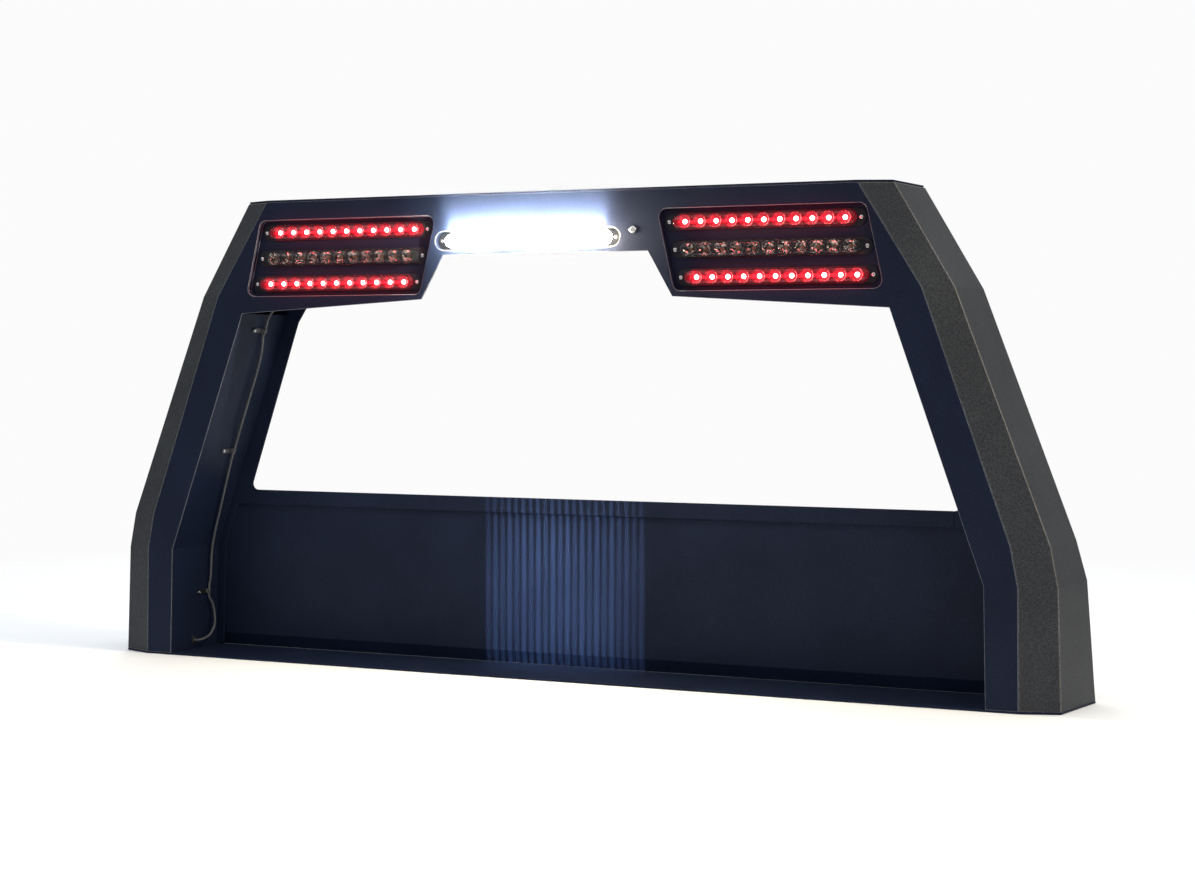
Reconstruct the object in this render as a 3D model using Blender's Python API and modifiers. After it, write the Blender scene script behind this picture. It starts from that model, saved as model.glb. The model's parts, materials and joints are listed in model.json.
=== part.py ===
"""Headache rack: a folded steel guard that stands across the front of a flatbed.

X runs to the right seen from behind the truck, +Y points to the cab and +Z is up.
The origin is on the deck, at the middle of the rack. "depth" below is measured
forward from the rear face, which is the face that carries the lights.
"""

import math

import bmesh
import bpy
from mathutils import Matrix, Vector

# ---- driving sizes, in metres ---------------------------------------------------
RACK_HEIGHT = 1.026
RACK_DEPTH = 0.212
DECK_HALF_WIDTH = 1.008
SHEET = 0.004
GAP = 0.0003

# Folds of the rear face's outer edge: height, and step in from the deck's half width.
BEND_LOW = 0.243
BEND_HIGH = 0.322
SHOULDER_DROP = 0.209
BEND_LOW_INSET = 0.006
BEND_HIGH_INSET = 0.022
SHOULDER_INSET = 0.203
TOP_INSET = 0.336

# Chamfered strip outside that fold, and the side wall beyond it.
CHAMFER_DECK = 0.076
CHAMFER_BEND = 0.071
CHAMFER_SHOULDER = 0.058
CHAMFER_TOP = 0.065
CHAMFER_DEPTH = 0.029
FLARE_DECK = 0.027
FLARE_BEND = 0.016
FLARE_TOP = 0.009
FRONT_LIP = 0.030

# Width of the flat rear strip of a post, from its outer fold to its inner edge.
STRIP_DECK = 0.064
STRIP_BEND = 0.066
STRIP_POD = 0.078

# Lower edge of the header: drops from the top, and steps in from the deck's half
# width to the pods' inner end and to the raised middle.
POD_OUTER_DROP = 0.248
POD_INNER_DROP = 0.221
RAISE_DROP = 0.128
POD_INNER_INSET = 0.7194
RAISE_INSET = 0.7736

# Front frame round the window.
FRAME_SETBACK = 0.020
SILL_HEIGHT = 0.373
KNEE_DROP = 0.266
WINDOW_TOP_DROP = 0.091
BORDER_SILL = 0.044
BORDER_KNEE = 0.035
WINDOW_TOP_INSET = 0.1155
WINDOW_CORNER = 0.014
SILL_STRIP = 0.034
LEG_LAP = 0.020

# Bulkhead below the window, and the plate that it all stands on.
BULKHEAD_SHEET = 0.003
FIELD_SETBACK = 0.012
TOE_SETBACK = 0.0035
FIELD_BEND = 0.020
TOE_HEIGHT = 0.032
BASE_SHEET = 0.004

# Strip lamps: three in each pod and one above the raised middle.
LED_COUNT = 11
LED_PITCH = 0.0336
TOP_ROW_DROP = 0.071
ROW_SPACING = 0.056
ROW_SHIFT = 0.013
POD_INSET = 0.516
WORK_X = -0.041
WORK_DROP = 0.098
REFLECTOR_END = 0.0205
REFLECTOR_HEIGHT = 0.0304
LENS_MARGIN = 0.0045
LENS_HEIGHT = 0.034
LENS_WALL = 0.0013
LENS_FACE = 0.0012
SCREW_OFFSET = 0.0085
EAR = 0.0095
BODY_MARGIN = 0.001
BODY_FLANGE = 0.002
REFLECTOR_SETBACK = 0.0017
BOWL_RADIUS = 0.0132
BOWL_HOLE_RADIUS = 0.0048
POCKET_MARGIN = 0.0055
POCKET_HEIGHT = 0.020
POCKET_DEPTH = 0.0028
BOARD = 0.0016
BOARD_MARGIN = 0.001
CHIP_RADIUS = 0.0034
CHIP_HEIGHT = 0.0034

# Trays that the lamps sit in.
TRAY_SHEET = 0.002
TRAY_DEPTH = 0.0100
TRAY_FLANGE = 0.006
TRAY_CORNER = 0.016
TRAY_MARGIN = 0.009
TRAY_END = 0.0075
WORK_TRAY_MARGIN = 0.002
WORK_TRAY_FLANGE = 0.0035

# Lamp screws, light sensor, cable and clips.
SCREW_HEAD = 0.0042
SCREW_HEAD_HEIGHT = 0.0027
SCREW_SHANK = 0.0021
SCREW_PAST = 0.004
SCREW_CLEARANCE = 0.0004
SENSOR_X = 0.201
SENSOR_DROP = 0.0845
SENSOR_HEAD = 0.0075
SENSOR_PROUD = 0.003
SENSOR_STEM = 0.0050
SENSOR_TAIL = 0.012
CABLE_RADIUS = 0.0030
CLIP_BAND = 0.0013
CLIP_CLEARANCE = 0.0009
CLIP_WIDTH = 0.010
CLIP_REACH = 0.037
CLIP_TAB_END = 0.007
GROMMET_DEPTH = 0.092
GROMMET_HEIGHT = 0.024
GROMMET_WALL = 0.0032
GROMMET_FLANGE = 0.0030
GROMMET_LIP = 0.0019

# ---- sizes that follow from them --------------------------------------------------
SHOULDER = RACK_HEIGHT - SHOULDER_DROP
POD_OUTER_HEIGHT = RACK_HEIGHT - POD_OUTER_DROP
POD_INNER_HEIGHT = RACK_HEIGHT - POD_INNER_DROP
RAISE_HEIGHT = RACK_HEIGHT - RAISE_DROP
POD_CENTRE = DECK_HALF_WIDTH - POD_INSET
POD_INNER = DECK_HALF_WIDTH - POD_INNER_INSET
RAISE_INNER = DECK_HALF_WIDTH - RAISE_INSET
WINDOW_KNEE = RACK_HEIGHT - KNEE_DROP
WINDOW_TOP = RACK_HEIGHT - WINDOW_TOP_DROP
FRAME_DEPTH = RACK_DEPTH - FRAME_SETBACK
SENSOR_HEIGHT = RACK_HEIGHT - SENSOR_DROP
WORK_HEIGHT = RACK_HEIGHT - WORK_DROP

REFLECTOR_LENGTH = LED_PITCH * (LED_COUNT - 1) + 2 * REFLECTOR_END
LENS_LENGTH = REFLECTOR_LENGTH + 2 * LENS_MARGIN
SCREW_REACH = LENS_LENGTH / 2 + SCREW_OFFSET
LAMP_LENGTH = 2 * (SCREW_REACH + EAR)
LAMP_HEIGHT = LENS_HEIGHT + 2 * BODY_MARGIN
POCKET_LENGTH = REFLECTOR_LENGTH - 2 * POCKET_MARGIN
TRAY_FLOOR = SHEET + GAP + TRAY_DEPTH
TRAY_BACK = TRAY_FLOOR + TRAY_SHEET
REFLECTOR_FACE = LENS_FACE + LENS_WALL + REFLECTOR_SETBACK
CABLE_STANDOFF = CABLE_RADIUS + CLIP_CLEARANCE + CLIP_BAND + 0.001
GROMMET_HOLE = CABLE_RADIUS + GAP + GROMMET_WALL

# The sensor stands proud of the rear face, so the face is set forward by half of that.
REAR = -(RACK_DEPTH - SENSOR_PROUD) / 2

for old in list(bpy.data.objects):
    bpy.data.objects.remove(old, do_unlink=True)

parts = bpy.data.collections.new("headache_rack")
cutters = bpy.data.collections.new("cutters")
bpy.context.scene.collection.children.link(parts)
bpy.context.scene.collection.children.link(cutters)


# ---- materials ----------------------------------------------------------------
def make_material(name, colour, metallic, roughness, alpha=1.0, glow=0.0):
    material = bpy.data.materials.new(name)
    material.use_nodes = True
    shader = material.node_tree.nodes["Principled BSDF"]
    shader.inputs["Base Color"].default_value = (*colour, 1.0)
    shader.inputs["Metallic"].default_value = metallic
    shader.inputs["Roughness"].default_value = roughness
    shader.inputs["Alpha"].default_value = alpha
    if glow:
        shader.inputs["Emission Color"].default_value = (*colour, 1.0)
        shader.inputs["Emission Strength"].default_value = glow
    return material


SMOOTH_BLACK = make_material("smooth_black_coat", (0.012, 0.013, 0.016), 0.0, 0.45)
ROUGH_BLACK = make_material("textured_black_coat", (0.030, 0.031, 0.030), 0.0, 0.60)
CHROME = make_material("lamp_chrome", (0.80, 0.80, 0.80), 1.0, 0.12)
RED_LENS = make_material("red_lens", (0.60, 0.010, 0.015), 0.0, 0.10, 0.45)
CLEAR_LENS = make_material("clear_lens", (0.90, 0.90, 0.90), 0.0, 0.08, 0.30)
RED_CHIP = make_material("red_chip", (1.0, 0.06, 0.05), 0.0, 0.30, 1.0, 4.0)
DARK_CHIP = make_material("unlit_chip", (0.75, 0.72, 0.55), 0.0, 0.40)
WHITE_CHIP = make_material("white_chip", (0.85, 0.93, 1.0), 0.0, 0.30, 1.0, 8.0)
STEEL = make_material("stainless_steel", (0.62, 0.62, 0.62), 1.0, 0.28)
CABLE_GREY = make_material("cable_jacket", (0.30, 0.31, 0.33), 0.0, 0.50)
RUBBER = make_material("black_rubber", (0.020, 0.020, 0.020), 0.0, 0.70)
GALVANISED = make_material("galvanised_steel", (0.35, 0.36, 0.37), 1.0, 0.42)


# ---- small geometry helpers ---------------------------------------------------
def level(value, *stations):
    """Straight-line value at a height, from (height, value) stations."""
    for (low, a), (high, b) in zip(stations, stations[1:]):
        if value <= high:
            return a + (b - a) * (value - low) / (high - low)
    return stations[-1][1]


def face_half(z):
    """Half width of the rear face at its outer fold."""
    return DECK_HALF_WIDTH - level(
        z,
        (0.0, 0.0),
        (BEND_LOW, BEND_LOW_INSET),
        (BEND_HIGH, BEND_HIGH_INSET),
        (SHOULDER, SHOULDER_INSET),
        (RACK_HEIGHT, TOP_INSET),
    )


def chamfer_width(z):
    return level(
        z,
        (0.0, CHAMFER_DECK),
        (BEND_LOW, CHAMFER_BEND),
        (BEND_HIGH, CHAMFER_BEND),
        (SHOULDER, CHAMFER_SHOULDER),
        (RACK_HEIGHT, CHAMFER_TOP),
    )


def side_flare(z):
    """How far the side wall leans out between the chamfer and the front lip."""
    return level(
        z,
        (0.0, FLARE_DECK),
        (BEND_LOW, FLARE_BEND),
        (BEND_HIGH, FLARE_TOP),
        (RACK_HEIGHT, FLARE_TOP),
    )


def return_half(z):
    """Half width between the posts' inner faces."""
    return level(
        z,
        (0.0, DECK_HALF_WIDTH - STRIP_DECK),
        (BEND_LOW, face_half(BEND_LOW) - STRIP_BEND),
        (POD_OUTER_HEIGHT, face_half(POD_OUTER_HEIGHT) - STRIP_POD),
    )


def meet(p, a, q, b):
    """Point where the line through p along a crosses the line through q along b."""
    cross = a.x * b.y - a.y * b.x
    step = ((q.x - p.x) * b.y - (q.y - p.y) * b.x) / cross
    return p + a * step


def inset(points, distance):
    """Open path moved to its left by a distance, with sharp corners."""
    lines = []
    for start, end in zip(points, points[1:]):
        along = (Vector(end) - Vector(start)).normalized()
        side = Vector((-along.y, along.x))
        lines.append((Vector(start) + side * distance, along))
    moved = [lines[0][0]]
    for one, two in zip(lines, lines[1:]):
        moved.append(meet(one[0], one[1], two[0], two[1]))
    last = Vector(points[-1]) - Vector(points[-2])
    side = Vector((-last.y, last.x)).normalized()
    moved.append(Vector(points[-1]) + side * distance)
    return moved


def rounded(corners, radius, grow=0.0, steps=4):
    """Anticlockwise outline with rounded corners, moved outward by grow."""
    count = len(corners)
    lines = []
    for index in range(count):
        start = Vector(corners[index])
        end = Vector(corners[(index + 1) % count])
        along = (end - start).normalized()
        outward = Vector((along.y, -along.x))
        lines.append((start + outward * grow, along))
    outline = []
    for index in range(count):
        before = lines[index - 1]
        after = lines[index]
        corner = meet(before[0], before[1], after[0], after[1])
        turn = math.acos(max(-1.0, min(1.0, before[1].dot(after[1]))))
        r = radius + grow
        reach = r * math.tan(turn / 2)
        start = corner - before[1] * reach
        centre = start + Vector((-before[1].y, before[1].x)) * r
        first = start - centre
        for step in range(steps + 1):
            angle = turn * step / steps
            spoke = Vector(
                (
                    first.x * math.cos(angle) - first.y * math.sin(angle),
                    first.x * math.sin(angle) + first.y * math.cos(angle),
                )
            )
            point = centre + spoke
            outline.append((point.x, point.y))
    return outline


def circle(x, z, radius, steps=16):
    return [
        (
            x + radius * math.cos(2 * math.pi * k / steps),
            z + radius * math.sin(2 * math.pi * k / steps),
        )
        for k in range(steps)
    ]


def mirrored(outline):
    return [(-x, z) for x, z in reversed(outline)]


def finish(mesh_name, work, material, collection=None, hidden=False):
    bmesh.ops.recalc_face_normals(work, faces=work.faces)
    mesh = bpy.data.meshes.new(mesh_name)
    work.to_mesh(mesh)
    work.free()
    made = bpy.data.objects.new(mesh_name, mesh)
    (collection or parts).objects.link(made)
    if material:
        mesh.materials.append(material)
    if hidden:
        made.hide_render = True
        made.display_type = "WIRE"
    return made


def add_loft(work, rings):
    """Closed body: the first outline's edges extruded from ring to ring, ends filled."""
    row = [work.verts.new(point) for point in rings[0]]
    first = [work.edges.new(pair) for pair in zip(row, row[1:] + row[:1])]
    edges = first
    for ring in rings[1:]:
        made = bmesh.ops.extrude_edge_only(work, edges=edges)["geom"]
        fresh = {item for item in made if isinstance(item, bmesh.types.BMVert)}
        edges = [item for item in made if isinstance(item, bmesh.types.BMEdge)]
        row = [
            next(
                edge.other_vert(old)
                for edge in old.link_edges
                if edge.other_vert(old) in fresh
            )
            for old in row
        ]
        for corner, point in zip(row, ring):
            corner.co = point
    bmesh.ops.edgeloop_fill(work, edges=first)
    bmesh.ops.edgeloop_fill(work, edges=edges)


def loft(name, rings, material):
    work = bmesh.new()
    add_loft(work, rings)
    return finish(name, work, material)


def upright(outline, depth):
    """Ring in the rack's own plane, at a depth behind the rear face."""
    return [(x, REAR + depth, z) for x, z in outline]


def flat_plate(name, outline, thickness, material, holes=()):
    """Plate lying flat, centred on its own plane, with holes right through it."""
    curve = bpy.data.curves.new(name, "CURVE")
    curve.dimensions = "2D"
    curve.fill_mode = "BOTH"
    curve.extrude = thickness / 2
    for points in [outline, *holes]:
        spline = curve.splines.new("POLY")
        spline.points.add(len(points) - 1)
        for target, (x, y) in zip(spline.points, points):
            target.co = (x, y, 0.0, 1.0)
        spline.use_cyclic_u = True
    curve.materials.append(material)
    made = bpy.data.objects.new(name, curve)
    parts.objects.link(made)
    return made


def plate(name, outline, near, far, material, holes=()):
    """Plate standing in the rack's own plane, between two depths."""
    made = flat_plate(name, outline, far - near, material, holes)
    made.rotation_euler = (math.pi / 2, 0.0, 0.0)
    made.location = (0.0, REAR + (near + far) / 2, 0.0)
    return made


def turned(name, profile, steps, matrix, material):
    """Profile of (radius, height) pairs turned about the matrix's Z axis."""
    work = bmesh.new()
    points = [work.verts.new((radius, 0.0, height)) for radius, height in profile]
    for pair in zip(points, points[1:]):
        work.edges.new(pair)
    mesh = bpy.data.meshes.new(name)
    work.to_mesh(mesh)
    work.free()
    mesh.materials.append(material)
    made = bpy.data.objects.new(name, mesh)
    made.matrix_world = matrix
    parts.objects.link(made)
    modifier = made.modifiers.new("turned", "SCREW")
    modifier.axis = "Z"
    modifier.steps = steps
    modifier.render_steps = steps
    modifier.use_merge_vertices = True
    modifier.merge_threshold = 0.00001
    return made


def fore_and_aft(x, z):
    """Matrix whose Z axis runs from the rear face's plane towards the front."""
    return Matrix.Translation((x, REAR, z)) @ Matrix.Rotation(-math.pi / 2, 4, "X")


def add_cone(work, matrix, near, far, segments):
    """Cone or cylinder along the matrix's Z axis, between two (height, radius) ends."""
    bmesh.ops.create_cone(
        work,
        cap_ends=True,
        segments=segments,
        radius1=near[1],
        radius2=far[1],
        depth=far[0] - near[0],
        matrix=matrix @ Matrix.Translation((0.0, 0.0, (near[0] + far[0]) / 2)),
    )


def cut(target, cutter, name):
    modifier = target.modifiers.new(name, "BOOLEAN")
    modifier.operation = "DIFFERENCE"
    modifier.solver = "EXACT"
    modifier.object = cutter


# ---- posts --------------------------------------------------------------------
def band_section(z, side):
    """Outline of the folded outer band at one height: chamfer, side and front lip."""
    start = face_half(z) + GAP
    fold = face_half(z) + chamfer_width(z)
    outer = [
        (start, 0.0),
        (fold, CHAMFER_DEPTH),
        (fold + side_flare(z), RACK_DEPTH),
        (fold + side_flare(z) - FRONT_LIP, RACK_DEPTH),
    ]
    inner = [tuple(point) for point in inset(outer, SHEET)]
    slope = CHAMFER_DEPTH / (fold - start)
    inner[0] = (start, SHEET * math.sqrt(1 + slope * slope))
    ring = outer + list(reversed(inner))
    return [(side * x, REAR + depth, z) for x, depth in ring]


def side_inner(z, depth):
    """Half width just inside the band's side wall, at a height and depth."""
    fold = face_half(z) + chamfer_width(z)
    run = (depth - CHAMFER_DEPTH) / (RACK_DEPTH - CHAMFER_DEPTH)
    wall = SHEET * math.hypot(1.0, side_flare(z) / (RACK_DEPTH - CHAMFER_DEPTH))
    return fold + side_flare(z) * run - wall - GAP


stand = BASE_SHEET + GAP
face_top = RACK_HEIGHT - SHEET - GAP
folds = [stand, BEND_LOW, BEND_HIGH, SHOULDER, face_top]
# The walls twist a little between folds, so each stretch takes a few sections.
band_levels = [stand]
for low, high in zip(folds, folds[1:]):
    band_levels += [low + (high - low) * step / 4 for step in range(1, 5)]
return_levels = [stand, BEND_LOW, POD_OUTER_HEIGHT - GAP]
return_back = FRAME_DEPTH - GAP
return_run = return_half(BEND_LOW) - return_half(POD_OUTER_HEIGHT)
return_thick = SHEET * math.hypot(1.0, return_run / (POD_OUTER_HEIGHT - BEND_LOW))

for label, side in (("left", -1), ("right", 1)):
    loft(
        f"post_band_{label}",
        [band_section(z, side) for z in band_levels],
        ROUGH_BLACK,
    )
    rings = []
    for z in return_levels:
        half = return_half(z)
        rings.append(
            [
                (side * half, REAR + SHEET + GAP, z),
                (side * (half + return_thick), REAR + SHEET + GAP, z),
                (side * (half + return_thick), REAR + return_back, z),
                (side * half, REAR + return_back, z),
            ]
        )
    loft(f"post_return_{label}", rings, SMOOTH_BLACK)


# ---- rear face: one cut sheet with the pods and the openings for the lamps -----
half_face = [(face_half(z), z) for z in folds]
half_inner = [
    (RAISE_INNER, RAISE_HEIGHT),
    (POD_INNER, POD_INNER_HEIGHT),
    (return_half(POD_OUTER_HEIGHT), POD_OUTER_HEIGHT),
    (return_half(BEND_LOW), BEND_LOW),
    (return_half(stand), stand),
]
face_outline = half_face + mirrored(half_face) + mirrored(half_inner) + half_inner

# Centre of each lamp row in the right pod; the rows step outward going down.
lamp_rows = {
    "top": (POD_CENTRE - ROW_SHIFT, RACK_HEIGHT - TOP_ROW_DROP),
    "middle": (POD_CENTRE, RACK_HEIGHT - TOP_ROW_DROP - ROW_SPACING),
    "low": (POD_CENTRE + ROW_SHIFT, RACK_HEIGHT - TOP_ROW_DROP - 2 * ROW_SPACING),
}
tray_high = lamp_rows["top"][1] + LAMP_HEIGHT / 2 + TRAY_MARGIN
tray_low = lamp_rows["low"][1] - LAMP_HEIGHT / 2 - TRAY_MARGIN


def tray_end(z, side):
    """X of the tray's slanted end at a height, past the lamps' rounded ends."""
    step = (lamp_rows["middle"][1] - z) / ROW_SPACING * ROW_SHIFT
    return POD_CENTRE + step + side * (LAMP_LENGTH / 2 + TRAY_END)


tray_corners = [
    (tray_end(tray_low, -1), tray_low),
    (tray_end(tray_low, 1), tray_low),
    (tray_end(tray_high, 1), tray_high),
    (tray_end(tray_high, -1), tray_high),
]
work_half_height = LAMP_HEIGHT / 2 + WORK_TRAY_MARGIN
work_half_length = LAMP_LENGTH / 2 + WORK_TRAY_MARGIN
work_corners = [
    (WORK_X - work_half_length, WORK_HEIGHT - work_half_height),
    (WORK_X + work_half_length, WORK_HEIGHT - work_half_height),
    (WORK_X + work_half_length, WORK_HEIGHT + work_half_height),
    (WORK_X - work_half_length, WORK_HEIGHT + work_half_height),
]
work_round = work_half_height - 0.0005


def tray_outline(which, grow):
    if which == "work":
        return rounded(work_corners, work_round, grow, 6)
    outline = rounded(tray_corners, TRAY_CORNER, grow)
    return mirrored(outline) if which == "left" else outline


sensor_hole = circle(SENSOR_X, SENSOR_HEIGHT, SENSOR_STEM + SCREW_CLEARANCE)
plate(
    "rear_face",
    face_outline,
    0.0,
    SHEET,
    SMOOTH_BLACK,
    [
        tray_outline("left", 0.0),
        tray_outline("right", 0.0),
        tray_outline("work", 0.0),
        sensor_hole,
    ],
)


# ---- top plate and its front lip ------------------------------------------------
top_low = RACK_HEIGHT - SHEET
fold_top = face_half(RACK_HEIGHT) + chamfer_width(RACK_HEIGHT)
half_plan = [
    (face_half(RACK_HEIGHT), 0.0),
    (fold_top, CHAMFER_DEPTH),
    (fold_top + side_flare(RACK_HEIGHT), RACK_DEPTH),
]
plan = half_plan + mirrored(half_plan)
top_plate = flat_plate("top_plate", plan, SHEET, SMOOTH_BLACK)
top_plate.location = (0.0, REAR, RACK_HEIGHT - SHEET / 2)
lip_high = top_low - GAP
lip_low = lip_high - FRONT_LIP


def lip_half(z):
    return face_half(z) + chamfer_width(z) + side_flare(z) - FRONT_LIP - GAP


plate(
    "top_front_lip",
    [
        (-lip_half(lip_low), lip_low),
        (lip_half(lip_low), lip_low),
        (lip_half(lip_high), lip_high),
        (-lip_half(lip_high), lip_high),
    ],
    RACK_DEPTH - SHEET,
    RACK_DEPTH,
    SMOOTH_BLACK,
)


# ---- front frame: two jambs, a head and a sill round the window -----------------
def frame_outer(z):
    return side_inner(z, FRAME_DEPTH)


sill_half = return_half(SILL_HEIGHT) - BORDER_SILL
knee_half = return_half(WINDOW_KNEE) - BORDER_KNEE
corner_angle = math.atan2(sill_half - knee_half, WINDOW_KNEE - SILL_HEIGHT)
# The corner's arc turns from the slanted jamb edge to the level sill.
arc_reach = WINDOW_CORNER * math.tan(math.pi / 4 + corner_angle / 2)
arc_centre = (sill_half - arc_reach, SILL_HEIGHT + WINDOW_CORNER)
arc = []
for step in range(6):
    angle = corner_angle - (math.pi / 2 + corner_angle) * step / 5
    arc.append(
        (
            arc_centre[0] + WINDOW_CORNER * math.cos(angle),
            arc_centre[1] + WINDOW_CORNER * math.sin(angle),
        )
    )
sill_end = arc_centre[0]
sill_low = SILL_HEIGHT - SILL_STRIP
jamb = [
    (return_half(stand) - LEG_LAP, stand),
    (frame_outer(stand), stand),
    (frame_outer(BEND_LOW), BEND_LOW),
    (frame_outer(BEND_HIGH), BEND_HIGH),
    (frame_outer(SHOULDER), SHOULDER),
    (frame_outer(WINDOW_TOP), WINDOW_TOP),
    (knee_half - WINDOW_TOP_INSET, WINDOW_TOP),
    (knee_half, WINDOW_KNEE),
    *arc,
    (sill_end, sill_low),
    (return_half(sill_low) - LEG_LAP, sill_low),
    (return_half(BEND_LOW) - LEG_LAP, BEND_LOW),
]
frame_far = FRAME_DEPTH + SHEET
plate("front_jamb_right", jamb, FRAME_DEPTH, frame_far, SMOOTH_BLACK)
plate("front_jamb_left", mirrored(jamb), FRAME_DEPTH, frame_far, SMOOTH_BLACK)
head_low = WINDOW_TOP + GAP
plate(
    "front_head",
    [
        (-frame_outer(head_low), head_low),
        (frame_outer(head_low), head_low),
        (frame_outer(lip_high), lip_high),
        (-frame_outer(lip_high), lip_high),
    ],
    FRAME_DEPTH,
    frame_far,
    SMOOTH_BLACK,
)
plate(
    "front_sill",
    [
        (-sill_end + GAP, sill_low),
        (sill_end - GAP, sill_low),
        (sill_end - GAP, SILL_HEIGHT),
        (-sill_end + GAP, SILL_HEIGHT),
    ],
    FRAME_DEPTH,
    frame_far,
    SMOOTH_BLACK,
)


# ---- bulkhead, floor ----------------------------------------------------------
lap_depth = frame_far + GAP
field_near = RACK_DEPTH - FIELD_SETBACK - BULKHEAD_SHEET
bulkhead_rows = [
    (stand, RACK_DEPTH - TOE_SETBACK - BULKHEAD_SHEET),
    (TOE_HEIGHT, field_near),
    (BEND_LOW, field_near),
    (sill_low - FIELD_BEND, field_near),
    (sill_low, lap_depth),
    (SILL_HEIGHT - SHEET, lap_depth),
]
rings = []
for z, near in bulkhead_rows:
    half = return_half(z) - SHEET / 2
    rings.append(
        [
            (-half, REAR + near, z),
            (half, REAR + near, z),
            (half, REAR + near + BULKHEAD_SHEET, z),
            (-half, REAR + near + BULKHEAD_SHEET, z),
        ]
    )
loft("bulkhead", rings, SMOOTH_BLACK)

fold_low = DECK_HALF_WIDTH + CHAMFER_DECK
half_base = [
    (DECK_HALF_WIDTH, 0.0),
    (fold_low, CHAMFER_DEPTH),
    (fold_low + side_flare(0.0), RACK_DEPTH),
]
base_plan = half_base + mirrored(half_base)
base_plate = flat_plate("base_plate", base_plan, BASE_SHEET, SMOOTH_BLACK)
base_plate.location = (0.0, REAR, BASE_SHEET / 2)


# ---- lamp trays -----------------------------------------------------------------
lamps = {"work": [("work", WORK_X, WORK_HEIGHT)]}
for label, side in (("left", -1), ("right", 1)):
    lamps[label] = [(row, side * x, z) for row, (x, z) in lamp_rows.items()]


def screw_points(which):
    points = []
    for _, x, z in lamps[which]:
        points.append((x - SCREW_REACH, z))
        points.append((x + SCREW_REACH, z))
    return points


def drill(name, points, radius, near, far):
    work = bmesh.new()
    for x, z in points:
        add_cone(work, fore_and_aft(x, z), (near, radius), (far, radius), 12)
    return finish(name, work, None, cutters, True)


for which in ("left", "right", "work"):
    name = "work_light_tray" if which == "work" else f"light_tray_{which}"
    flange = WORK_TRAY_FLANGE if which == "work" else TRAY_FLANGE
    under = SHEET + GAP
    tray = loft(
        name,
        [
            upright(tray_outline(which, 0.0), TRAY_FLOOR),
            upright(tray_outline(which, 0.0), under),
            upright(tray_outline(which, flange), under),
            upright(tray_outline(which, flange), under + TRAY_SHEET),
            upright(tray_outline(which, TRAY_SHEET), under + TRAY_SHEET),
            upright(tray_outline(which, TRAY_SHEET), TRAY_BACK),
        ],
        SMOOTH_BLACK,
    )
    cut(
        tray,
        drill(
            f"{name}_drill",
            screw_points(which),
            SCREW_SHANK + SCREW_CLEARANCE,
            TRAY_FLOOR - 0.002,
            TRAY_BACK + 0.002,
        ),
        "screw_holes",
    )


# ---- strip lamps: moulded body, LED board, lens and two screws -------------------
def box_corners(x, z, length, height):
    return [
        (x - length / 2, z - height / 2),
        (x + length / 2, z - height / 2),
        (x + length / 2, z + height / 2),
        (x - length / 2, z + height / 2),
    ]


body_back = TRAY_FLOOR - GAP
flange_front = body_back - BODY_FLANGE
pocket_floor = body_back - POCKET_DEPTH
board_front = pocket_floor + GAP
lens_back = flange_front - GAP
lens_inner = LENS_FACE + LENS_WALL


def led_points(x, z):
    middle = (LED_COUNT - 1) / 2
    return [(x + LED_PITCH * (k - middle), z) for k in range(LED_COUNT)]


def add_body(name, x, z):
    """Plated moulding: a flange with two ears and a raised bar of reflector bowls."""
    bar = box_corners(x, z, REFLECTOR_LENGTH, REFLECTOR_HEIGHT)
    pocket = box_corners(x, z, POCKET_LENGTH, POCKET_HEIGHT)
    flange = box_corners(x, z, LAMP_LENGTH, LAMP_HEIGHT)
    flange_round = LAMP_HEIGHT / 2 - 0.0004
    body = loft(
        f"{name}_body",
        [
            upright(rounded(bar, 0.012), REFLECTOR_FACE),
            upright(rounded(bar, 0.012), flange_front),
            upright(rounded(flange, flange_round), flange_front),
            upright(rounded(flange, flange_round), body_back),
            upright(rounded(pocket, 0.004), body_back),
            upright(rounded(pocket, 0.004), pocket_floor),
        ],
        CHROME,
    )
    work = bmesh.new()
    run = (BOWL_RADIUS - BOWL_HOLE_RADIUS) / (pocket_floor - REFLECTOR_FACE)
    above = 0.001
    mouth = (REFLECTOR_FACE - above, BOWL_RADIUS + run * above)
    floor = (pocket_floor + above, BOWL_HOLE_RADIUS - run * above)
    for px, pz in led_points(x, z):
        add_cone(work, fore_and_aft(px, pz), mouth, floor, 8)
    hole = SCREW_SHANK + SCREW_CLEARANCE
    near = (flange_front - 0.002, hole)
    far = (body_back + 0.002, hole)
    for px in (x - SCREW_REACH, x + SCREW_REACH):
        add_cone(work, fore_and_aft(px, z), near, far, 12)
    cut(body, finish(f"{name}_cuts", work, None, cutters, True), "bowls_and_holes")


def add_board(name, x, z, material):
    length = POCKET_LENGTH - 2 * BOARD_MARGIN
    board_corners = box_corners(x, z, length, POCKET_HEIGHT - 2 * BOARD_MARGIN)
    board = loft(
        f"{name}_led_board",
        [
            upright(rounded(board_corners, 0.002), depth)
            for depth in (board_front, board_front + BOARD)
        ],
        material,
    )
    work = bmesh.new()
    sunk = 0.0006
    tip = (board_front - CHIP_HEIGHT, CHIP_RADIUS * 0.7)
    foot = (board_front + sunk, CHIP_RADIUS)
    for px, pz in led_points(x, z):
        add_cone(work, fore_and_aft(px, pz), tip, foot, 8)
    chips = finish(f"{name}_chips", work, None, cutters, True)
    modifier = board.modifiers.new("chips", "BOOLEAN")
    modifier.operation = "UNION"
    modifier.solver = "EXACT"
    modifier.object = chips


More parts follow.
